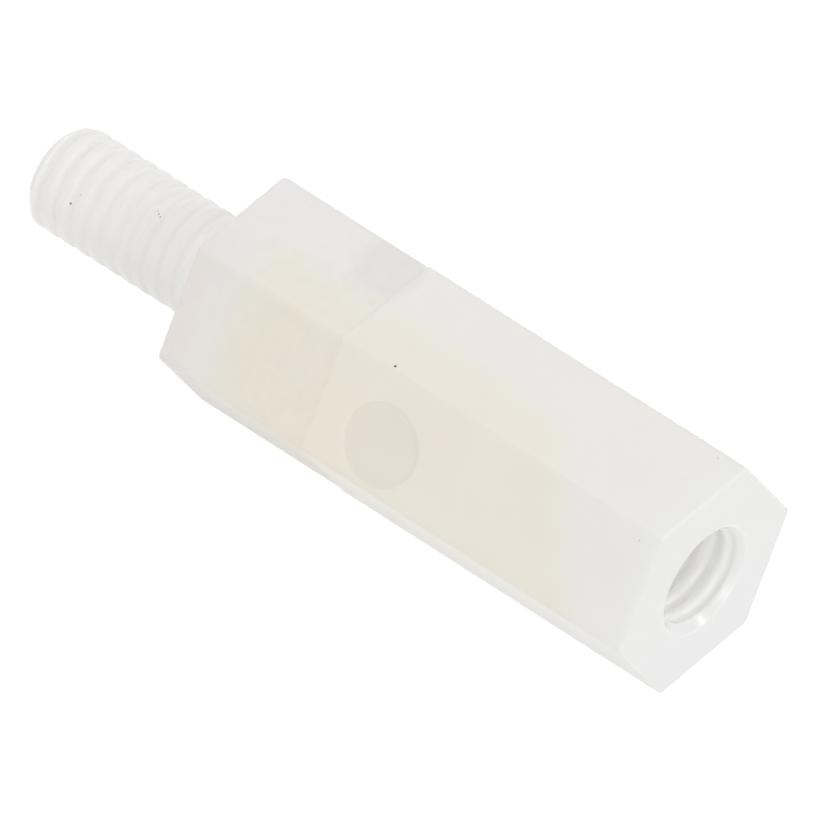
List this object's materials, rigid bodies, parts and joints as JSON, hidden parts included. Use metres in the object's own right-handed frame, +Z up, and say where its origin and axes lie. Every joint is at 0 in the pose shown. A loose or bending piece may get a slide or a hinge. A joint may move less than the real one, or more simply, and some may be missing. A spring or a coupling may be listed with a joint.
{
  "type": "hex standoff",
  "caption": "Moulded natural nylon hex standoff with a threaded stud on one end and a tapped blind hole in the other, for holding a circuit board off a panel.",
  "frame": {"origin": "centre of the shoulder, where the stud meets the hexagonal body, on the part's axis", "axes": "+X along the axis, from the shoulder towards the tapped end; +Z up, square to the flat on top, with the part lying on the opposite flat"},
  "size_m": [0.021, 0.0062, 0.0054],
  "materials": {
    "natural_polyamide": "satin"
  },
  "bodies": {
    "root": {"hex_standoff": "natural_polyamide"}
  },
  "joints": []
}
